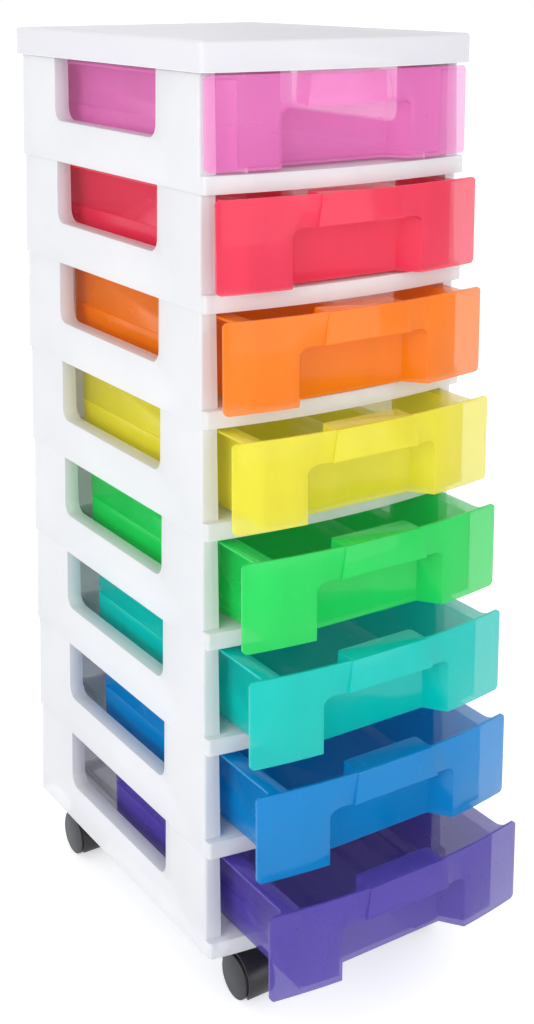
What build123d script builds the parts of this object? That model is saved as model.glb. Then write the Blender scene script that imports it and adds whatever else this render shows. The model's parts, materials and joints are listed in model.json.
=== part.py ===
from build123d import *
import math
import os

# A free-standing tower of eight stacked frame modules under one cover, with a drawer in
# each module, on four twin-wheel swivel castors. Millimetres, +Z up, the front faces -Y.
# Z is 0 on the floor, X is 0 in the middle, and Y is 0 half way between the back of the
# cover and the front of the drawer that stands out the most.

# ---- driving dimensions ----
DRAWERS = 8
WIDTH = 306.0
DEPTH = 394.0
PITCH = 110.0              # one module, from its foot to the next one's foot
CASTOR_HEIGHT = 54.0       # floor to the foot of the lowest module
BOW = 14.5                 # how far the middle of the front stands out before its corners
OPENED = [0.0, 18.5, 30.5, 45.5, 61.0, 73.5, 85.0, 107.0]   # top drawer to bottom drawer

# ---- frame module ----
WALL = 2.2
DRAFT = 1.0                # degrees
CORNER = 4.0
BAND_HEIGHT = 17.0         # front rail, and the top of the module's floor
POST_SETBACK = 9.0         # posts stand behind the rail's face
BAY = 135.5                # half width of the bay, to the inner walls
WINDOW_FRONT = 89.0
WINDOW_BACK = 309.0
WINDOW_FOOT = 43.5
WINDOW_RADIUS = 14.0
RIB_PITCH = 39.2
RIB_THICKNESS = 1.6
RIB_FOOT = 4.0
RUNNER_X = 104.0           # the two rails on the floor that the drawer slides on
RUNNER_WIDTH = 3.0
SPIGOT_LENGTH = 24.0       # raised blocks on the deck that centre the module above
SPIGOT_WIDTH = 6.0
SPIGOT_HEIGHT = 5.0
SPIGOT_Y = [48.0, 350.0]

# ---- cover ----
COVER_HEIGHT = 29.0
COVER_OVERHANG = 3.4
COVER_WALL = 2.6
COVER_EDGE = 3.5

# ---- drawer ----
PROUD = 1.0                # the drawer front stands this far before the rail's face
PANEL_SIDE = 151.5
PANEL_FOOT = 20.0
PANEL_TOP = 107.5
PANEL_THICKNESS = 3.0
PANEL_RADIUS = 5.0
BOX_SIDE = 119.0           # half width outside, at the bottom
BOX_BACK = 376.0
BOX_FOOT = 22.0
BOX_WALL = 2.2
BOX_CORNER = 9.0
BOX_CLEARANCE = 0.3        # above the runners
RIM_SIDE = 134.2
RIM_BACK = 388.0
RIM_TOP = 104.8
RIM_THICKNESS = 2.2
RIM_FLARE = 8.0            # radius where the rim sweeps out to the ends of the front
INSET_FRONT = 90.0         # the sunk field in each side starts this far behind the front
INSET_FOOT = 57.0
INSET_DEPTH = 1.2
INSET_RADIUS = 12.0

# ---- finger recess and handle ----
RECESS_DEPTH = 24.0        # behind the middle of the front
RECESS_MOUTH = 78.0        # half width at the face
RECESS_BACK = 60.0         # half width at its back wall
RECESS_TOP = 77.0
RECESS_RADIUS = 14.0
RECESS_WALL = 2.2
HANDLE_FOOT = 50.5         # half width of the handle at its lower edge
HANDLE_HEAD = 45.0         # and at its upper edge
HANDLE_LEAN = 2.0          # the lower edge stands this far before the front
SHELF_RADIUS = 4.0         # rear corners of the shelf behind the handle

# ---- castors ----
STEM_X = [106.0, 128.0]    # front pair, back pair
STEM_Y = [22.0, 345.0]     # behind the front corners
STEM_RADIUS = 4.0
STEM_REACH = 12.5          # how far the stem goes up into its socket
STEM_FOOT = 41.5           # lower end, in the hood
SOCKET_CLEARANCE = 0.08
SOCKET_SIDE = 15.0         # square boss round each socket
TRAIL = 20.0
WHEEL_RADIUS = 23.0
WHEEL_WIDTH = 13.0
AXLE_RADIUS = 3.0
AXLE_CLEARANCE = 0.08
AXLE_REACH = 14.0          # half length
WEB_HALF = 4.0             # half thickness of the hood's middle wall
WHEEL_GAP = 0.5
HOOD_HALF = 15.0
HOOD_INNER = 24.2
HOOD_OUTER = 26.6
HOOD_TOP = 53.6            # carries the foot of the module
HOOD_FOOT = 9.5            # lower end of the mudguard in front
HOOD_REAR = 27.0           # and at the back
HOOD_BOSS = 7.0            # half side

# ---- worked out ----
HALF = WIDTH / 2
BOW_RADIUS = (HALF ** 2 + BOW ** 2) / (2 * BOW)
BOW_CENTRE = BOW_RADIUS - BOW
FRONT_REACH = max(OPENED) + BOW + PROUD + HANDLE_LEAN
FRONT = (FRONT_REACH - DEPTH - COVER_OVERHANG) / 2       # Y of the front corners
RUNNER_TOP = BOX_FOOT - BOX_CLEARANCE
RIB_ROWS = [(k + 0.5) * RIB_PITCH for k in range(-3, 3)]
NARROWING = PITCH * math.tan(math.radians(DRAFT))
FAR = 200.0                # longer than any width cut through


def bowed_plan(side, inset, back, corner=0.0):
    """Plan outline: straight sides and back, and a front that keeps the bow, inset behind it."""
    end = bow_y(side, inset)
    front = ThreePointArc((-side, end), (0, bow_y(0, inset)), (side, end))
    rest = Polyline((side, end), (side, back), (-side, back), (-side, end))
    face = make_face(front + rest)
    if corner:
        face = fillet(face.vertices(), corner)
    return face


def bow_y(x, inset):
    """Y of the bowed line at x, inset behind the face of the rail."""
    return BOW_CENTRE - math.sqrt((BOW_RADIUS - inset) ** 2 - x ** 2)


def block(x0, x1, y0, y1, z0, z1):
    """A straight block between two corners."""
    return Pos((x0 + x1) / 2, (y0 + y1) / 2, (z0 + z1) / 2) * Box(x1 - x0, y1 - y0, z1 - z0)


def both_sides(shape):
    """The shape and its mirror image across the middle."""
    return shape + mirror(shape, Plane.YZ)


def side_outline(y0, y1, z0, z1, radius):
    """A flat outline seen from the side, with its two lower corners rounded."""
    face = make_face(Polyline((y0, z0), (y1, z0), (y1, z1), (y0, z1), close=True))
    face = fillet(face.vertices().sort_by(Axis.Y)[:2], radius)
    return Plane.YZ * face


def prism_x(face, x0, x1):
    """A side outline made solid from x0 to x1."""
    return Pos(x0, 0, 0) * extrude(face, x1 - x0, dir=(1, 0, 0))


def front_prism(points, rounded, radius, y0, y1):
    """A front outline made solid from y0 to y1; the rounded points are picked by number."""
    face = make_face(Polyline(*points, close=True))
    if rounded:
        corners = [v for v in face.vertices()
                   if any(math.dist((v.X, v.Y), points[k]) < 0.01 for k in rounded)]
        face = fillet(corners, radius)
    plane = Plane(origin=(0, y1, 0), x_dir=(1, 0, 0), z_dir=(0, -1, 0))
    return extrude(plane * face, y1 - y0)


# ---- frame module -------------------------------------------------------------------

def window(x0, x1):
    """The notch in a side wall, open at the top."""
    return prism_x(side_outline(WINDOW_FRONT, WINDOW_BACK, WINDOW_FOOT, PITCH + 1,
                                WINDOW_RADIUS), x0, x1)


def side_hollow():
    """The hollow of the right-hand double wall, open below and closed by the deck."""
    inner = BAY + WALL
    outer = HALF - WALL
    front = POST_SETBACK + WALL
    plan = make_face(Polyline((inner, front), (outer, front), (outer, DEPTH - WALL),
                              (inner, DEPTH - WALL), close=True))
    hollow = extrude(plan, PITCH - WALL, taper=DRAFT)
    lining = block(inner - 1, outer + 1, WINDOW_FRONT - WALL, WINDOW_BACK + WALL,
                   WINDOW_FOOT - WALL, PITCH)
    return hollow - lining


def module(sockets=False):
    """One moulded frame: two hollow side walls, a back, a floor on ribs and a front rail."""
    body = loft([bowed_plan(HALF, POST_SETBACK, DEPTH, CORNER),
                 Pos(0, 0, PITCH) * bowed_plan(HALF - NARROWING, POST_SETBACK + NARROWING,
                                               DEPTH - NARROWING, CORNER)], ruled=True)
    body += extrude(bowed_plan(HALF - 0.6, 0, DEPTH / 8, CORNER), BAND_HEIGHT)
    body -= block(-BAY, BAY, -FAR, DEPTH - WALL, BAND_HEIGHT, PITCH + 1)
    under = extrude(bowed_plan(BAY, WALL, DEPTH - WALL), BAND_HEIGHT - WALL)
    body -= under
    body -= both_sides(side_hollow())
    body -= both_sides(window(BAY - WALL, HALF + WALL))
    ribs = [block(x - RIB_THICKNESS / 2, x + RIB_THICKNESS / 2, -FAR, DEPTH, RIB_FOOT, BAND_HEIGHT)
            for x in RIB_ROWS]
    body += Compound(ribs) & under
    body += both_sides(block(RUNNER_X - RUNNER_WIDTH / 2, RUNNER_X + RUNNER_WIDTH / 2, 4,
                             DEPTH - WALL, BAND_HEIGHT - WALL / 2, RUNNER_TOP))
    deck = (BAY + HALF) / 2
    for y in SPIGOT_Y:
        body += both_sides(block(deck - SPIGOT_WIDTH / 2, deck + SPIGOT_WIDTH / 2,
                                 y - SPIGOT_LENGTH / 2, y + SPIGOT_LENGTH / 2,
                                 PITCH - WALL, PITCH + SPIGOT_HEIGHT))
    if sockets:
        for x, y in zip(STEM_X, STEM_Y):
            body += both_sides(block(x - SOCKET_SIDE / 2, x + SOCKET_SIDE / 2, y - SOCKET_SIDE / 2,
                                     y + SOCKET_SIDE / 2, 0, BAND_HEIGHT - WALL / 2))
            bore = Pos(x, y, 0) * extrude(Circle(STEM_RADIUS + SOCKET_CLEARANCE), BAND_HEIGHT - WALL)
            body -= both_sides(bore)
    return body


# ---- cover --------------------------------------------------------------------------

def cover():
    """The lid: a shallow bowed tray, open below, with ribs that rest on the top module."""
    side = HALF + COVER_OVERHANG
    shell = extrude(bowed_plan(side, -COVER_OVERHANG, DEPTH + COVER_OVERHANG, 6), COVER_HEIGHT)
    shell = fillet(shell.faces().sort_by(Axis.Z)[-1].edges(), COVER_EDGE)
    inside = extrude(bowed_plan(side - COVER_WALL, COVER_WALL - COVER_OVERHANG,
                                DEPTH + COVER_OVERHANG - COVER_WALL, CORNER),
                     COVER_HEIGHT - COVER_WALL)
    shell -= inside
    rows = [RIB_ROWS[0] - RIB_PITCH] + RIB_ROWS + [RIB_ROWS[-1] + RIB_PITCH]
    ribs = []
    for x in rows:
        foot = 0 if abs(x) > BAY else COVER_HEIGHT / 2
        ribs.append(block(x - RIB_THICKNESS / 2, x + RIB_THICKNESS / 2, -FAR, DEPTH + FAR,
                          foot, COVER_HEIGHT))
    gap = [block(rows[0] - 4, rows[0] + 4, y - SPIGOT_LENGTH / 2 - 3, y + SPIGOT_LENGTH / 2 + 3,
                 -1, SPIGOT_HEIGHT + 2) for y in SPIGOT_Y]
    return shell + ((Compound(ribs) & inside) - both_sides(Compound(gap)))


# ---- drawer -------------------------------------------------------------------------

def recess_void(grow):
    """The finger pocket, pressed up from below: a wide arch, and a slot behind the handle."""
    back = RECESS_DEPTH - BOW + grow
    mouth = -BOW - FAR / 4
    slope = (RECESS_MOUTH - RECESS_BACK) / RECESS_DEPTH
    wide = RECESS_BACK + grow + slope * (back - mouth)
    plan = make_face(Polyline((-wide, mouth), (wide, mouth), (RECESS_BACK + grow, back),
                              (-RECESS_BACK - grow, back), close=True))
    foot = PANEL_FOOT - 1
    arch = RECESS_MOUTH + grow
    top = RECESS_TOP + grow
    wings = extrude(plan, PITCH)
    wings &= front_prism([(-arch, foot), (arch, foot), (arch, top), (-arch, top)], (2, 3),
                         RECESS_RADIUS + grow, mouth, back)
    head = PANEL_TOP - RECESS_WALL + grow
    slot = front_prism([(-HANDLE_FOOT + RECESS_WALL - grow, foot + 1),
                        (HANDLE_FOOT - RECESS_WALL + grow, foot + 1),
                        (HANDLE_HEAD - RECESS_WALL + grow, head),
                        (-HANDLE_HEAD + RECESS_WALL - grow, head)], (), 0, -BOW, back)
    if grow:
        rear = [e for e in slot.edges() if abs(e.center().Y - back) < 0.01 and abs(e.center().X) > 20]
        slot = fillet(rear, SHELF_RADIUS)
    return wings + slot


def drawer_front():
    """The bowed front: a plate that keeps the rail's curve, with rounded corners."""
    plate = extrude(bowed_plan(PANEL_SIDE, -PROUD, FAR / 8), PANEL_TOP)
    plate -= extrude(bowed_plan(PANEL_SIDE + 5, PANEL_THICKNESS - PROUD, FAR / 4), PANEL_TOP)
    corners = [(-PANEL_SIDE, PANEL_FOOT), (PANEL_SIDE, PANEL_FOOT),
               (PANEL_SIDE, PANEL_TOP), (-PANEL_SIDE, PANEL_TOP)]
    return plate & front_prism(corners, (0, 1, 2, 3), PANEL_RADIUS, -FAR, FAR)


def drawer_handle():
    """The handle's face, which leans out to its lower edge."""
    face = BOW + PROUD
    outline = front_prism([(-HANDLE_FOOT, RECESS_TOP), (HANDLE_FOOT, RECESS_TOP),
                           (HANDLE_HEAD, PANEL_TOP), (-HANDLE_HEAD, PANEL_TOP)], (), 0,
                          -FAR, 0)
    side = make_face(Polyline((-face + PANEL_THICKNESS, RECESS_TOP),
                              (-face - HANDLE_LEAN, RECESS_TOP),
                              (-face - HANDLE_LEAN, RECESS_TOP + 1.5),
                              (-face, PANEL_TOP),
                              (-face + PANEL_THICKNESS, PANEL_TOP), close=True))
    return outline & prism_x(Plane.YZ * side, -FAR, FAR)


def box_plan(side, front, back, corner):
    """Plan of the box: its two rear corners rounded."""
    face = make_face(Polyline((-side, front), (side, front), (side, back), (-side, back), close=True))
    return fillet(face.vertices().sort_by(Axis.Y)[-2:], corner)


def drawer_box():
    """The open box behind the front, with a sunk field in the outside of each side wall."""
    height = RIM_TOP - BOX_FOOT - RIM_THICKNESS / 2
    tub = Pos(0, 0, BOX_FOOT) * extrude(box_plan(BOX_SIDE, -BOW, BOX_BACK, BOX_CORNER), height)
    tub &= extrude(bowed_plan(PANEL_SIDE, PANEL_THICKNESS / 2, DEPTH), PITCH)
    room = box_plan(BOX_SIDE - BOX_WALL, -BOW, BOX_BACK - BOX_WALL, BOX_CORNER - BOX_WALL)
    tub -= Pos(0, 0, BOX_FOOT + BOX_WALL) * extrude(room, PITCH)
    field = make_face(Polyline((INSET_FRONT, INSET_FOOT), (BOX_BACK + 1, INSET_FOOT),
                               (BOX_BACK + 1, RIM_TOP - RIM_THICKNESS),
                               (INSET_FRONT, RIM_TOP - RIM_THICKNESS), close=True))
    corner = field.vertices().sort_by(Axis.X)[:2].sort_by(Axis.Y)[0]
    field = Plane.YZ * fillet(corner, INSET_RADIUS)
    return tub - both_sides(prism_x(field, BOX_SIDE - INSET_DEPTH, BOX_SIDE + 1))


def rim_plan():
    """Plan of the rim: straight sides that sweep out to the ends of the front."""
    end = bow_y(PANEL_SIDE, PANEL_THICKNESS - PROUD)
    face = bow_y(PANEL_SIDE, PROUD / 2)
    start = end + RIM_FLARE
    half = RIM_FLARE * math.sqrt(0.5)
    tip = RIM_SIDE + RIM_FLARE
    right = Polyline((RIM_SIDE, RIM_BACK), (RIM_SIDE, start)) \
        + ThreePointArc((RIM_SIDE, start), (tip - half, start - half), (tip, end)) \
        + Polyline((tip, end), (PANEL_SIDE, end), (PANEL_SIDE, face))
    left = mirror(right, Plane.YZ)
    front = ThreePointArc((-PANEL_SIDE, face), (0, bow_y(0, PROUD / 2)), (PANEL_SIDE, face))
    plan = make_face(right + front + left + Line((-RIM_SIDE, RIM_BACK), (RIM_SIDE, RIM_BACK)))
    return fillet(plan.vertices().sort_by(Axis.Y)[-2:], BOX_CORNER)


def drawer_rim():
    """The flat rim round the box, swept out to the ends of the front."""
    rim = Pos(0, 0, RIM_TOP - RIM_THICKNESS) * extrude(rim_plan(), RIM_THICKNESS)
    opening = box_plan(BOX_SIDE - BOX_WALL, -BOW, BOX_BACK - BOX_WALL, BOX_CORNER - BOX_WALL)
    mouth = Pos(0, 0, RIM_TOP - RIM_THICKNESS - 1) * extrude(opening, RIM_THICKNESS + 2)
    mouth &= extrude(bowed_plan(PANEL_SIDE, PANEL_THICKNESS - PROUD, DEPTH), PITCH)
    return rim - mouth


def drawer():
    """One moulded drawer, closed, in its module's own place."""
    pocket = recess_void(RECESS_WALL) & block(-FAR, FAR, -BOW - 2, DEPTH, PANEL_FOOT, PANEL_TOP)
    inside = extrude(bowed_plan(PANEL_SIDE, 0.5, DEPTH), PITCH)
    return drawer_front() + drawer_box() + drawer_rim() + (pocket & inside) \
        - recess_void(0) + drawer_handle()


# ---- castor -------------------------------------------------------------------------

def wheel(side):
    """One wheel of the pair, closed on its outer face; side is -1 on the left, 1 on the right."""
    inner = WEB_HALF + WHEEL_GAP
    bore = AXLE_RADIUS + AXLE_CLEARANCE
    outline = Polyline((inner, bore), (AXLE_REACH + 0.5, bore), (AXLE_REACH + 0.5, 0),
                       (inner + WHEEL_WIDTH, 0), (inner + WHEEL_WIDTH, WHEEL_RADIUS),
                       (inner, WHEEL_RADIUS), close=True)
    solid = revolve(make_face(outline), Axis.X)
    if side < 0:
        solid = mirror(solid, Plane.YZ)
    return Pos(0, -TRAIL, WHEEL_RADIUS) * solid


def along_axle(outline, half):
    """An outline round the axle's line made solid to both sides of the castor's middle."""
    return Pos(-half, -TRAIL, WHEEL_RADIUS) * extrude(Plane.YZ * outline, 2 * half, dir=(1, 0, 0))


def hood():
    """The castor's body: a middle wall, a mudguard over both wheels and a boss for the stem."""
    guard = along_axle(Circle(HOOD_OUTER) - Circle(HOOD_INNER), HOOD_HALF)
    guard -= block(-FAR, FAR, -FAR, -TRAIL, -FAR, HOOD_FOOT)
    guard -= block(-FAR, FAR, -TRAIL, FAR, -FAR, HOOD_REAR)
    reach = HOOD_INNER + 0.5
    web = make_face(Polyline((-reach * 0.8, -reach * 0.6), (5, -7), (reach, HOOD_REAR - WHEEL_RADIUS),
                             (TRAIL, 14), (0, reach), (-reach, 0), close=True))
    body = guard + along_axle(web, WEB_HALF)
    boss = block(-HOOD_BOSS, HOOD_BOSS, -HOOD_BOSS, HOOD_BOSS, STEM_FOOT - 4, HOOD_TOP)
    body += boss - along_axle(Circle(HOOD_INNER), FAR)
    body -= along_axle(Circle(AXLE_RADIUS), FAR)
    return body - Pos(0, 0, STEM_FOOT) * extrude(Circle(STEM_RADIUS), FAR)


def stem():
    """The steel stem: a plain pin, pressed into the hood, that turns in the module's socket."""
    return Pos(0, 0, STEM_FOOT) * extrude(Circle(STEM_RADIUS), CASTOR_HEIGHT + STEM_REACH - STEM_FOOT)


def axle():
    """The axle, pressed through the hood's middle wall, with a wheel on each end."""
    return along_axle(Circle(AXLE_RADIUS), AXLE_REACH)


# ---- the whole tower ----------------------------------------------------------------

def save(shape, name, x=0.0, y=0.0, z=0.0):
    """Puts a piece in its place and writes it to its own file."""
    placed = Pos(x, FRONT + y, z) * shape
    if isinstance(placed, Compound) and len(placed.solids()) == 1:
        placed = placed.solids()[0]
    export_step(placed, "parts/" + name + ".step")


def main():
    os.makedirs("parts", exist_ok=True)
    top = CASTOR_HEIGHT + DRAWERS * PITCH
    save(cover(), "top_cover", z=top)
    plain = module()
    base = module(sockets=True)
    tray = drawer()
    for k in range(DRAWERS):
        foot = top - (k + 1) * PITCH
        save(base if k == DRAWERS - 1 else plain, "module_%d" % (k + 1), z=foot)
        save(tray, "drawer_%d" % (k + 1), y=-OPENED[k], z=foot)
    for end, x, y in zip(("front", "back"), STEM_X, STEM_Y):
        for hand, sign in (("left", -1), ("right", 1)):
            name = "castor_%s_%s_" % (end, hand)
            save(hood(), name + "hood", sign * x, y)
            save(stem(), name + "stem", sign * x, y)
            save(axle(), name + "axle", sign * x, y)
            save(wheel(-1), name + "wheel_left", sign * x, y)
            save(wheel(1), name + "wheel_right", sign * x, y)


main()
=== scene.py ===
"""Finishes the stacked drawer tower: frosted modules, clear drawers and twin-wheel castors."""

import json
import math

import bpy
from bpy.props import FloatProperty, FloatVectorProperty, PointerProperty
from mathutils import Vector
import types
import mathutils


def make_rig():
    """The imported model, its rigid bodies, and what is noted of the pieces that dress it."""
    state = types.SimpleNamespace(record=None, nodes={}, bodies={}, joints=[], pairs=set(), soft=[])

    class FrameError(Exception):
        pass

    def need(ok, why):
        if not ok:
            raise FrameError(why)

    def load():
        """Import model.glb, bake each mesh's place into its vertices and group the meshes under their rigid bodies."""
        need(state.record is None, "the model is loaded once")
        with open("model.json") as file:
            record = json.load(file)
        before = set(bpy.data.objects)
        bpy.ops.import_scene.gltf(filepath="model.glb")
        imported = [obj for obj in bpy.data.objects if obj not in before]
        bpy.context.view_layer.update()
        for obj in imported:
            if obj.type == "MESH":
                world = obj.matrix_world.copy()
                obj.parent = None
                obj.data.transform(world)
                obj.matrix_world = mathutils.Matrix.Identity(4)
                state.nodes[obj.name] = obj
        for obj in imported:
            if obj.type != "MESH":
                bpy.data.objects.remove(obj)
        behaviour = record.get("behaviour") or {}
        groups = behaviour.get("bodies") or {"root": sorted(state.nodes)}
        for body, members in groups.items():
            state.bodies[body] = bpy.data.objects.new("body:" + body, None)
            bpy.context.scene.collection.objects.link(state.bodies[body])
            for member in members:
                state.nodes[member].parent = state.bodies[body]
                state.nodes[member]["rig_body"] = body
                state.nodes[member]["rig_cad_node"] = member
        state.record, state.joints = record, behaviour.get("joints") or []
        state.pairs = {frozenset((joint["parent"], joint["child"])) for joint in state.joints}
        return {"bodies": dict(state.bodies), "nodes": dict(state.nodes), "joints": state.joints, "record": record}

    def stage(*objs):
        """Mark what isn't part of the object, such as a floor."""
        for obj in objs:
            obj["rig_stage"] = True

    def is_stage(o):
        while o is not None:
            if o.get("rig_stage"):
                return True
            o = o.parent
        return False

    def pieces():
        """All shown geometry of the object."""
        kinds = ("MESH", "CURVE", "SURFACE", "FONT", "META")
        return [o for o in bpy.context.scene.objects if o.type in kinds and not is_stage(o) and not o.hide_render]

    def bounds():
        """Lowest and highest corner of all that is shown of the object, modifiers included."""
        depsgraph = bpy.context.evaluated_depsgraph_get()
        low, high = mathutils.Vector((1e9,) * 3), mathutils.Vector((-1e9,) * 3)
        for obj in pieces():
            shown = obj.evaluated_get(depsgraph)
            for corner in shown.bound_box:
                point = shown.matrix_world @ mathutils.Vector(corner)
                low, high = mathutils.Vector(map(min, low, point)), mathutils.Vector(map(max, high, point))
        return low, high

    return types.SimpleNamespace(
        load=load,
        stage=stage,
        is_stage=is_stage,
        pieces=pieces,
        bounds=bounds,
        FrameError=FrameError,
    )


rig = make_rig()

bl_info = {
    "name": "Drawer Tower",
    "version": (1, 0, 0),
    "blender": (4, 5, 0),
    "location": "View3D > Sidebar > Drawer Tower",
    "description": "Finishes a tower of eight coloured drawers in frosted modules on castors",
    "category": "Object",
}

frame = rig.load()
CAD_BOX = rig.bounds()

MODULES = ["module_%d" % row for row in range(1, 9)]
DRAWERS = ["drawer_%d" % row for row in range(1, 9)]
CORNERS = ["front_left", "front_right", "back_left", "back_right"]

# From the top down: hue, screen colour, and how little shows through one wall.
DRAWER_HUES = [
    ("pink", (1.0, 0.52, 0.83), 0.36),
    ("red", (0.98, 0.24, 0.37), 0.62),
    ("orange", (1.0, 0.53, 0.08), 0.66),
    ("yellow", (0.95, 0.91, 0.24), 0.58),
    ("green", (0.13, 0.86, 0.38), 0.68),
    ("teal", (0.0, 0.80, 0.76), 0.70),
    ("blue", (0.0, 0.54, 0.82), 0.72),
    ("purple", (0.35, 0.28, 0.68), 0.66),
]

# Lengths in metres.
CORNER_GAP = 0.00001          # corners nearer than this are one corner
AXLE_ROUNDING = 0.0003        # rounded edge of an axle's end
FLOOR_GAP = 0.0002            # the floor's drop under the wheels
GRAIN_HEIGHT = 0.0002         # moulded grain
WAVE_HEIGHT = 0.004           # waviness of a thin moulded wall
FAR_CLIP = 200.0              # how far the camera sees
SENSOR_WIDTH = 36.0           # in millimetres

# Angles.
FLAT_ANGLE = math.radians(0.6)       # faces that turn less than this are one flat face
EDGE_ANGLE = math.radians(38.0)      # edges that turn more than this are rounded
SMOOTH_ANGLE = math.radians(28.0)    # faces that turn less than this are shaded as one

# Patterns, as scales and turns of the object's coordinates.
FLOW_STRETCH = (30.0, 6.0, 4.0)
SCUFF_TURN = (0.3, 0.5, 0.7)
SCUFF_STRETCH = (420.0, 26.0, 90.0)

ROUND_STEPS = 2               # strips in a rounded edge
PLASTIC_IOR = 1.49
COAT_ROUGHNESS = 0.05
EDGE_BODY = 0.95              # how little shows through a rounded edge
THICK_SHADE = 0.86            # a thick wall's colour beside a thin one's

WHITE = (1.0, 1.0, 1.0)
ROOM_TINT = (0.96, 0.98, 1.0, 1.0)
ROOM_RISE = (0.15, 0.95)      # where the light from the sides turns into the light from above
FLOOR_GLOW = 0.5              # the floor's own light, which makes it white to the camera

# Each lamp's name, place and size in metres, and the setting that holds its power.
LAMPS = [
    ("key_lamp", (-3.2, -1.4, 1.5), 2.0, "key"),
    ("fill_lamp", (1.4, -3.2, 1.2), 2.2, "fill"),
    ("back_lamp", (0.6, 2.6, 2.6), 2.0, "back"),
]


# ---------------------------------------------------------------- settings

def swatch(label, about, colour):
    """A colour as it looks on a screen, for the sidebar."""
    return FloatVectorProperty(name=label, description=about, default=colour,
                               subtype="COLOR_GAMMA", size=3, min=0.0, max=1.0)


def share(label, about, amount):
    """A share from nothing to everything."""
    return FloatProperty(name=label, description=about, default=amount, min=0.0, max=1.0,
                         subtype="FACTOR")


def length(label, about, metres):
    """A length in metres."""
    return FloatProperty(name=label, description=about, default=metres, unit="LENGTH",
                         precision=5)


def strength(label, about, amount):
    """A strength of light."""
    return FloatProperty(name=label, description=about, default=amount, min=0.0)


def power(label, about, watts):
    """A lamp's power in watts."""
    return FloatProperty(name=label, description=about, default=watts, min=0.0, unit="POWER")


def turn(label, about, degrees):
    """An angle, written in degrees."""
    return FloatProperty(name=label, description=about, default=math.radians(degrees),
                         unit="ROTATION")


class FrostSettings(bpy.types.PropertyGroup):
    """The frosted white plastic of the modules and the cover."""
    colour: swatch("Frosted white", "Colour of the frosted plastic", (0.975, 0.975, 0.98))
    deep: swatch("Thick frosted white", "Colour where the frosted plastic is thick",
                 (0.94, 0.945, 0.955))
    edge: swatch("Frosted edge", "Colour of the rounded edges", (0.99, 0.99, 1.0))
    cover: swatch("Cover white", "Colour of the cover", (0.93, 0.92, 0.935))
    body: share("Body", "How little shows through a module's wall", 0.70)
    cover_body: share("Cover body", "How little shows through the cover", 0.80)
    rounding: length("Edge rounding", "Width of the rounded edges", 0.0007)


class DrawerSettings(bpy.types.PropertyGroup):
    """The clear coloured plastic of the drawers."""
    drawer_1: swatch("Drawer 1", "Colour of the top drawer", DRAWER_HUES[0][1])
    drawer_2: swatch("Drawer 2", "Colour of the second drawer", DRAWER_HUES[1][1])
    drawer_3: swatch("Drawer 3", "Colour of the third drawer", DRAWER_HUES[2][1])
    drawer_4: swatch("Drawer 4", "Colour of the fourth drawer", DRAWER_HUES[3][1])
    drawer_5: swatch("Drawer 5", "Colour of the fifth drawer", DRAWER_HUES[4][1])
    drawer_6: swatch("Drawer 6", "Colour of the sixth drawer", DRAWER_HUES[5][1])
    drawer_7: swatch("Drawer 7", "Colour of the seventh drawer", DRAWER_HUES[6][1])
    drawer_8: swatch("Drawer 8", "Colour of the bottom drawer", DRAWER_HUES[7][1])
    # Painted glow: the drawers give off a little light of their own colour, which lightens their walls in the shade.
    painted_glow: share("Carried light",
                   "Light that the clear plastic carries along its walls into the shade", 0.10)
    # Painted highlight: how far the drawers' rounded edges are lightened towards white.
    painted_edge_highlight: share("Edge light", "How far the rounded edges go towards white", 0.45)
    rounding: length("Edge rounding", "Width of the rounded edges", 0.0006)


class CastorSettings(bpy.types.PropertyGroup):
    """The black castors."""
    hood: swatch("Hood", "Colour of the hood's plastic", (0.105, 0.10, 0.11))
    wheel: swatch("Wheel", "Colour of the wheel's plastic", (0.075, 0.08, 0.11))
    steel: swatch("Steel", "Colour of the stem and the axle", (0.66, 0.66, 0.68))
    rounding: length("Edge rounding", "Width of the rounded edges", 0.0008)


class StageSettings(bpy.types.PropertyGroup):
    """Floor, lamps and camera."""
    floor: swatch("Floor", "Colour of the floor", (0.93, 0.93, 0.94))
    floor_size: length("Floor size", "Length of the floor's side", 60.0)
    room: strength("Room light", "Strength of the light from all sides", 1.0)
    overhead: strength("Overhead light", "Strength of the light from straight above", 0.62)
    key: power("Key lamp", "Power of the large lamp at the front left", 52.0)
    fill: power("Fill lamp", "Power of the lamp at the front right", 24.0)
    back: power("Back lamp", "Power of the lamp behind and above", 10.0)
    eye: FloatVectorProperty(name="Camera place", description="Where the camera stands",
                             default=(-0.84281, -1.29720, 1.02205), subtype="TRANSLATION",
                             unit="LENGTH")
    heading: turn("Heading", "How far the camera turns right of straight ahead", 33.158)
    dip: turn("Dip", "How far the camera looks down", 10.822)
    focal: FloatProperty(name="Focal length", description="Focal length in millimetres",
                         default=53.13, unit="CAMERA")
    lift: FloatProperty(name="Lens shift", description="Vertical shift of the lens",
                        default=-0.2451)


# ---------------------------------------------------------------- helpers

def linear(colour):
    """A screen colour as the linear colour that shaders use."""
    parts = [c / 12.92 if c <= 0.04045 else ((c + 0.055) / 1.055) ** 2.4 for c in colour]
    return (*parts, 1.0)


def mixed(one, other, part):
    """A screen colour between two others."""
    return tuple(a + (b - a) * part for a, b in zip(one, other))


def clear_selection():
    """Leaves nothing selected."""
    bpy.ops.object.select_all(action="DESELECT")


def dress(obj, *materials):
    """Puts materials in an object's slots."""
    obj.data.materials.clear()
    for m in materials:
        obj.data.materials.append(m)


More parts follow.
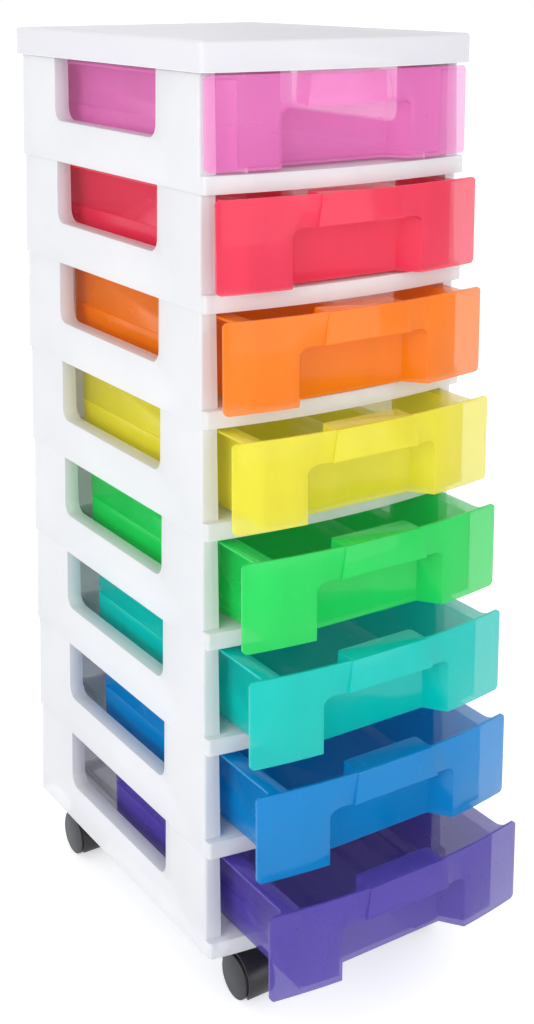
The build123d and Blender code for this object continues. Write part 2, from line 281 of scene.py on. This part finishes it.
def soften(obj, width, edge_slot):
    """Rounds the sharp edges, and gives the rounded strips the material of one slot."""
    weld = obj.modifiers.new("Join corners", "WELD")
    weld.merge_threshold = CORNER_GAP
    flat = obj.modifiers.new("Whole faces", "DECIMATE")
    flat.decimate_type = "DISSOLVE"
    flat.angle_limit = FLAT_ANGLE
    round_off = obj.modifiers.new("Round edges", "BEVEL")
    round_off.width = width
    round_off.segments = ROUND_STEPS
    round_off.limit_method = "ANGLE"
    round_off.angle_limit = EDGE_ANGLE
    round_off.use_clamp_overlap = True
    round_off.material = edge_slot
    clear_selection()
    obj.select_set(True)
    bpy.context.view_layer.objects.active = obj
    bpy.ops.object.shade_smooth_by_angle(angle=SMOOTH_ANGLE)
    obj.select_set(False)


def finish_part(name, rounding, *materials):
    """Gives a moulded part its materials, the last of them on its rounded edges."""
    part = bpy.data.objects.get(name)
    if part is None:
        raise RuntimeError("no part named " + name)
    dress(part, *materials)
    soften(part, rounding, len(materials) - 1)


def turn_towards(obj, way):
    """Turns a lamp or a camera to look along a direction."""
    obj.rotation_euler = way.to_track_quat("-Z", "Y").to_euler()


# ---------------------------------------------------------------- nodes

def feed(tree, socket, term):
    """Links a socket to another, or sets it to a number."""
    if isinstance(term, bpy.types.NodeSocket):
        tree.links.new(term, socket)
    else:
        socket.default_value = term


def noise(tree, coords, scale, detail, rough):
    """A noise field over coordinates."""
    n = tree.nodes.new("ShaderNodeTexNoise")
    n.inputs["Detail"].default_value = detail
    n.inputs["Roughness"].default_value = rough
    tree.links.new(coords, n.inputs["Vector"])
    feed(tree, n.inputs["Scale"], scale)
    return n.outputs["Fac"]


def calc(tree, kind, a, b):
    """One sum, whose terms are numbers or sockets."""
    m = tree.nodes.new("ShaderNodeMath")
    m.operation = kind
    feed(tree, m.inputs[0], a)
    feed(tree, m.inputs[1], b)
    return m.outputs[0]


def spread(tree, value, low, high, to_low=0.0, to_high=1.0):
    """A value's range turned into another, held at both ends."""
    r = tree.nodes.new("ShaderNodeMapRange")
    r.clamp = True
    r.inputs["From Min"].default_value = low
    r.inputs["From Max"].default_value = high
    r.inputs["To Min"].default_value = to_low
    r.inputs["To Max"].default_value = to_high
    tree.links.new(value, r.inputs["Value"])
    return r.outputs["Result"]


def bump(tree, distance, depth, height):
    """A bump node with its height and depth linked."""
    n = tree.nodes.new("ShaderNodeBump")
    n.inputs["Distance"].default_value = distance
    tree.links.new(depth, n.inputs["Strength"])
    tree.links.new(height, n.inputs["Height"])
    return n


def stretched(tree, coords, scale, rotation=(0.0, 0.0, 0.0)):
    """Coordinates stretched, so that a noise over them runs in lines."""
    n = tree.nodes.new("ShaderNodeMapping")
    n.inputs["Rotation"].default_value = rotation
    n.inputs["Scale"].default_value = scale
    tree.links.new(coords, n.inputs["Vector"])
    return n.outputs["Vector"]


def seen_rays(tree):
    """One for rays from the camera, a reflection or clear plastic, and nothing for the rest."""
    rays = tree.nodes.new("ShaderNodeLightPath").outputs
    return calc(tree, "MAXIMUM", rays["Is Camera Ray"],
                calc(tree, "MAXIMUM", rays["Is Glossy Ray"], rays["Is Transmission Ray"]))


# ---------------------------------------------------------------- node groups

def new_group(name, inputs, output, kind):
    """A shader group with named inputs, one output and the object's coordinates in it."""
    group = bpy.data.node_groups.new(name, "ShaderNodeTree")
    for label, sort, value in inputs:
        socket = group.interface.new_socket(name=label, in_out="INPUT", socket_type=sort)
        socket.default_value = value
    group.interface.new_socket(name=output, in_out="OUTPUT", socket_type=kind)
    start = group.nodes.new("NodeGroupInput").outputs
    end = group.nodes.new("NodeGroupOutput").inputs[output]
    place = group.nodes.new("ShaderNodeTexCoord").outputs["Object"]
    return group, start, end, place


def build_surface():
    """Fine moulded grain and the slow waviness of a thin moulded wall, as a normal."""
    group, start, end, place = new_group(
        "Moulded surface",
        [("Grain Scale", "NodeSocketFloat", 900.0), ("Grain Depth", "NodeSocketFloat", 0.15),
         ("Wave Scale", "NodeSocketFloat", 14.0), ("Wave Depth", "NodeSocketFloat", 0.2)],
        "Normal", "NodeSocketVector")
    fine = noise(group, place, start["Grain Scale"], 2.0, 0.6)
    slow = noise(group, place, start["Wave Scale"], 1.0, 0.4)
    wave = bump(group, WAVE_HEIGHT, start["Wave Depth"], slow)
    grain = bump(group, GRAIN_HEIGHT, start["Grain Depth"], fine)
    group.links.new(wave.outputs["Normal"], grain.inputs["Normal"])
    group.links.new(grain.outputs["Normal"], end)
    return group


def build_melt():
    """The uneven melt of a moulding: a pale and a deep colour in slow clouds and flow lines."""
    group, start, end, place = new_group(
        "Melt colour",
        [("Pale", "NodeSocketColor", (1.0, 1.0, 1.0, 1.0)),
         ("Deep", "NodeSocketColor", (0.8, 0.8, 0.8, 1.0)),
         ("Cloud Scale", "NodeSocketFloat", 9.0), ("Amount", "NodeSocketFloat", 0.5)],
        "Color", "NodeSocketColor")
    cloud = noise(group, place, start["Cloud Scale"], 3.0, 0.55)
    flow = noise(group, stretched(group, place, FLOW_STRETCH), 1.0, 3.0, 0.6)
    both = calc(group, "ADD", calc(group, "MULTIPLY", cloud, 0.65),
                calc(group, "MULTIPLY", flow, 0.35))
    part = calc(group, "MULTIPLY", spread(group, both, 0.36, 0.64), start["Amount"])
    mix = group.nodes.new("ShaderNodeMix")
    mix.data_type = "RGBA"
    group.links.new(part, mix.inputs["Factor"])
    group.links.new(start["Pale"], mix.inputs["A"])
    group.links.new(start["Deep"], mix.inputs["B"])
    group.links.new(mix.outputs["Result"], end)
    return group


def build_handling():
    """Faint rubbed patches and hairline scuffs of a handled surface, as a roughness."""
    group, start, end, place = new_group(
        "Handling marks",
        [("Base", "NodeSocketFloat", 0.3), ("Patch", "NodeSocketFloat", 0.08),
         ("Scuff", "NodeSocketFloat", 0.12), ("Scale", "NodeSocketFloat", 22.0)],
        "Roughness", "NodeSocketFloat")
    patch = spread(group, noise(group, place, start["Scale"], 3.0, 0.6), 0.42, 0.68)
    lines = stretched(group, place, SCUFF_STRETCH, SCUFF_TURN)
    scuff = spread(group, noise(group, lines, 1.0, 2.0, 0.5), 0.66, 0.74)
    marks = calc(group, "ADD", calc(group, "MULTIPLY", patch, start["Patch"]),
                 calc(group, "MULTIPLY", scuff, start["Scuff"]))
    group.links.new(calc(group, "ADD", start["Base"], marks), end)
    return group


GROUP_MAKERS = {"Moulded surface": build_surface, "Melt colour": build_melt,
                "Handling marks": build_handling}


def add_group(tree, name, **values):
    """A shared group placed in a material with its own values, and built on its first use."""
    n = tree.nodes.new("ShaderNodeGroup")
    n.node_tree = bpy.data.node_groups.get(name) or GROUP_MAKERS[name]()
    for label, value in values.items():
        n.inputs[label.replace("_", " ")].default_value = value
    return n


# ---------------------------------------------------------------- materials

def new_material(name, pale, deep, amount, clouds):
    """A material with one Principled shader, whose colour is an uneven melt."""
    m = bpy.data.materials.new(name)
    m.use_nodes = True
    tree = m.node_tree
    tree.nodes.clear()
    out = tree.nodes.new("ShaderNodeOutputMaterial")
    shader = tree.nodes.new("ShaderNodeBsdfPrincipled")
    tree.links.new(shader.outputs[0], out.inputs["Surface"])
    melt = add_group(tree, "Melt colour", Pale=linear(pale), Deep=linear(deep),
                     Cloud_Scale=clouds, Amount=amount)
    tree.links.new(melt.outputs["Color"], shader.inputs["Base Color"])
    return m, tree, shader.inputs


def add_skin(tree, inputs, grain, wave, **marks):
    """Grain, waviness and handling marks on a material's surface."""
    surface = add_group(tree, "Moulded surface", Grain_Depth=grain, Wave_Depth=wave)
    handling = add_group(tree, "Handling marks", **marks)
    tree.links.new(surface.outputs["Normal"], inputs["Normal"])
    tree.links.new(handling.outputs["Roughness"], inputs["Roughness"])


def plastic(name, pale, deep, amount, clouds, rough, grain, wave, body=1.0, coat=0.0, gloss=0.5,
            painted_glow=0.0):
    """A moulded plastic: uneven melt, grain, waviness and handling marks, and a painted glow of its own colour where
    one is asked for.
    """
    m, tree, inputs = new_material(name, pale, deep, amount, clouds)
    add_skin(tree, inputs, grain, wave, Base=rough)
    inputs["IOR"].default_value = PLASTIC_IOR
    inputs["Specular IOR Level"].default_value = gloss
    inputs["Coat Weight"].default_value = coat
    inputs["Coat Roughness"].default_value = COAT_ROUGHNESS
    inputs["Alpha"].default_value = body
    # A faint glow of the plastic's own colour: painted light, which the drawers use to lift their walls in the shade.
    inputs["Emission Color"].default_value = linear(pale)
    inputs["Emission Strength"].default_value = painted_glow
    return m


def steel(name, colour):
    """Bright steel, a little uneven and rubbed."""
    m, tree, inputs = new_material(name, colour, mixed(colour, (0.3, 0.3, 0.32), 0.4),
                                   amount=0.6, clouds=160.0)
    add_skin(tree, inputs, grain=0.25, wave=0.0, Base=0.24, Patch=0.15, Scuff=0.2)
    inputs["Metallic"].default_value = 1.0
    return m


# ---------------------------------------------------------------- operators

class TOWER_OT_cover(bpy.types.Operator):
    """Finishes the flat cover in frosted white plastic"""
    bl_idname = "tower.cover"
    bl_label = "Cover"

    def execute(self, context):
        frost = context.scene.tower_frost
        face = plastic("cover_frosted_white", frost.cover, frost.deep, amount=0.45, clouds=6.0,
                       rough=0.36, grain=0.5, wave=0.10, body=frost.cover_body)
        edge = plastic("cover_edge", frost.edge, frost.cover, amount=0.5, clouds=6.0,
                       rough=0.34, grain=0.3, wave=0.0)
        finish_part("top_cover", frost.rounding, face, edge)
        return {"FINISHED"}


class TOWER_OT_modules(bpy.types.Operator):
    """Finishes the eight frame modules in frosted see-through plastic"""
    bl_idname = "tower.modules"
    bl_label = "Frame modules"

    def execute(self, context):
        frost = context.scene.tower_frost
        face = plastic("module_frosted_white", frost.colour, frost.deep, amount=0.7, clouds=8.0,
                       rough=0.34, grain=0.45, wave=0.12, body=frost.body)
        edge = plastic("module_edge", frost.edge, frost.colour, amount=0.5, clouds=8.0,
                       rough=0.30, grain=0.3, wave=0.0, body=EDGE_BODY)
        for name in MODULES:
            finish_part(name, frost.rounding, face, edge)
        return {"FINISHED"}


class TOWER_OT_drawers(bpy.types.Operator):
    """Finishes the eight drawers in clear coloured plastic"""
    bl_idname = "tower.drawers"
    bl_label = "Drawers"

    def execute(self, context):
        look = context.scene.tower_drawers
        for name, (hue, _, body) in zip(DRAWERS, DRAWER_HUES):
            colour = tuple(getattr(look, name))
            thick = tuple(c * THICK_SHADE for c in colour)
            # The drawer faces glow a little in their own colour (painted light), and their rounded edges carry a
            # painted highlight.
            face = plastic(hue + "_clear_plastic", colour, thick, amount=0.45, clouds=7.0,
                           rough=0.16, grain=0.05, wave=0.12, body=body, coat=0.25,
                           gloss=0.22, painted_glow=look.painted_glow)
            # Rounded edges lightened towards white: a painted highlight along the drawers' edges.
            light = mixed(colour, WHITE, look.painted_edge_highlight)
            edge = plastic(hue + "_edge", light, colour, amount=0.4, clouds=9.0, rough=0.14,
                           grain=0.1, wave=0.0, body=EDGE_BODY, coat=0.3, gloss=0.3)
            finish_part(name, look.rounding, face, edge)
        return {"FINISHED"}


class TOWER_OT_castors(bpy.types.Operator):
    """Finishes the four castors: black hoods and wheels, steel stems and axles"""
    bl_idname = "tower.castors"
    bl_label = "Castors"

    def execute(self, context):
        look = context.scene.tower_castors
        hood = plastic("castor_hood_black", look.hood, mixed(look.hood, (0.2, 0.19, 0.2), 0.5),
                       amount=0.6, clouds=40.0, rough=0.30, grain=0.5, wave=0.06)
        wheel = plastic("castor_wheel_black", look.wheel,
                        mixed(look.wheel, (0.15, 0.16, 0.2), 0.5),
                        amount=0.5, clouds=40.0, rough=0.34, grain=0.5, wave=0.04)
        bright = steel("castor_steel", look.steel)
        for corner in CORNERS:
            castor = "castor_" + corner
            finish_part(castor + "_hood", look.rounding, hood)
            finish_part(castor + "_stem", look.rounding, bright)
            finish_part(castor + "_axle", AXLE_ROUNDING, bright)
            finish_part(castor + "_wheel_left", look.rounding, wheel)
            finish_part(castor + "_wheel_right", look.rounding, wheel)
        return {"FINISHED"}


class TOWER_OT_stage(bpy.types.Operator):
    """Lays the pale floor, sets the soft lamps and the camera"""
    bl_idname = "tower.stage"
    bl_label = "Stage"

    def execute(self, context):
        look = context.scene.tower_stage
        low, high = CAD_BOX
        middle = Vector((low[0] + high[0], low[1] + high[1], low[2] + high[2])) / 2
        self.lay_floor(context, look, low[2] - FLOOR_GAP)
        self.light_room(context, look)
        for name, place, size, setting in LAMPS:
            self.add_lamp(context, name, place, middle, size, getattr(look, setting))
        self.set_camera(context, look)
        return {"FINISHED"}

    def lay_floor(self, context, look, height):
        """A pale floor that the camera sees as white outside the shadow."""
        clear_selection()
        bpy.ops.mesh.primitive_plane_add(size=look.floor_size, location=(0.0, 0.0, height))
        floor = context.object
        floor.name = "floor"
        bpy.ops.object.transform_apply(location=True, rotation=False, scale=True)
        m, tree, inputs = new_material("floor_white", look.floor,
                                       mixed(look.floor, (0.9, 0.9, 0.9), 0.3),
                                       amount=0.3, clouds=0.8)
        inputs["Roughness"].default_value = 0.9
        inputs["Specular IOR Level"].default_value = 0.0
        inputs["Emission Color"].default_value = (*WHITE, 1.0)
        tree.links.new(calc(tree, "MULTIPLY", seen_rays(tree), FLOOR_GLOW),
                       inputs["Emission Strength"])
        dress(floor, m)
        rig.stage(floor)

    def light_room(self, context, look):
        """Even light from all sides, weaker from above, with a white backdrop."""
        world = bpy.data.worlds.new("studio")
        context.scene.world = world
        world.use_nodes = True
        tree = world.node_tree
        tree.nodes.clear()
        out = tree.nodes.new("ShaderNodeOutputWorld")
        way = tree.nodes.new("ShaderNodeTexCoord")
        parts = tree.nodes.new("ShaderNodeSeparateXYZ")
        tree.links.new(way.outputs["Generated"], parts.inputs[0])
        ambient = tree.nodes.new("ShaderNodeBackground")
        ambient.inputs["Color"].default_value = ROOM_TINT
        tree.links.new(spread(tree, parts.outputs["Z"], *ROOM_RISE, look.room, look.overhead),
                       ambient.inputs["Strength"])
        backdrop = tree.nodes.new("ShaderNodeBackground")
        backdrop.inputs["Color"].default_value = (*WHITE, 1.0)
        mix = tree.nodes.new("ShaderNodeMixShader")
        tree.links.new(seen_rays(tree), mix.inputs["Fac"])
        tree.links.new(ambient.outputs[0], mix.inputs[1])
        tree.links.new(backdrop.outputs[0], mix.inputs[2])
        tree.links.new(mix.outputs[0], out.inputs["Surface"])

    def add_lamp(self, context, name, place, target, size, watts):
        """A soft square lamp, turned to a target."""
        clear_selection()
        bpy.ops.object.light_add(type="AREA", location=place)
        lamp = context.object
        lamp.name = name
        lamp.data.shape = "SQUARE"
        lamp.data.size = size
        lamp.data.energy = watts
        turn_towards(lamp, target - lamp.location)
        lamp.select_set(False)

    def set_camera(self, context, look):
        """The photograph's viewpoint, for a picture of 534 by 1024."""
        data = bpy.data.cameras.new("photo_view")
        data.sensor_width = SENSOR_WIDTH
        data.lens = look.focal
        data.shift_y = look.lift
        data.clip_end = FAR_CLIP
        camera = bpy.data.objects.new("photo_view", data)
        context.scene.collection.objects.link(camera)
        camera.location = look.eye
        level = math.cos(look.dip)
        turn_towards(camera, Vector((math.sin(look.heading) * level,
                                     math.cos(look.heading) * level, -math.sin(look.dip))))
        context.scene.camera = camera
        context.scene.view_settings.view_transform = "Standard"


class TOWER_PT_sidebar(bpy.types.Panel):
    """Lists the finishing steps of the tower"""
    bl_idname = "TOWER_PT_sidebar"
    bl_label = "Drawer Tower"
    bl_space_type = "VIEW_3D"
    bl_region_type = "UI"
    bl_category = "Drawer Tower"

    def draw(self, context):
        layout = self.layout
        for step in STEPS:
            layout.operator(step.bl_idname)
        for group in GROUPS:
            box = layout.box()
            settings = getattr(context.scene, group)
            for label in settings.__annotations__:
                box.prop(settings, label)


STEPS = [TOWER_OT_cover, TOWER_OT_modules, TOWER_OT_drawers, TOWER_OT_castors, TOWER_OT_stage]
GROUPS = {"tower_frost": FrostSettings, "tower_drawers": DrawerSettings,
          "tower_castors": CastorSettings, "tower_stage": StageSettings}
CLASSES = [*GROUPS.values(), *STEPS, TOWER_PT_sidebar]


def register():
    """Adds the settings, the steps and the panel."""
    for cls in CLASSES:
        bpy.utils.register_class(cls)
    for name, cls in GROUPS.items():
        setattr(bpy.types.Scene, name, PointerProperty(type=cls))


def unregister():
    """Takes them away again."""
    for name in GROUPS:
        delattr(bpy.types.Scene, name)
    for cls in reversed(CLASSES):
        bpy.utils.unregister_class(cls)


def main():
    """Finishes the tower step by step, and writes down its sizes."""
    register()
    bpy.ops.tower.cover()
    bpy.ops.tower.modules()
    bpy.ops.tower.drawers()
    bpy.ops.tower.castors()
    bpy.ops.tower.stage()
    sizes = {"cad": [list(c) for c in CAD_BOX], "visual": [list(c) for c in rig.bounds()]}
    with open("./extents.json", "w") as f:
        json.dump(sizes, f)


if __name__ == "__main__":
    main()
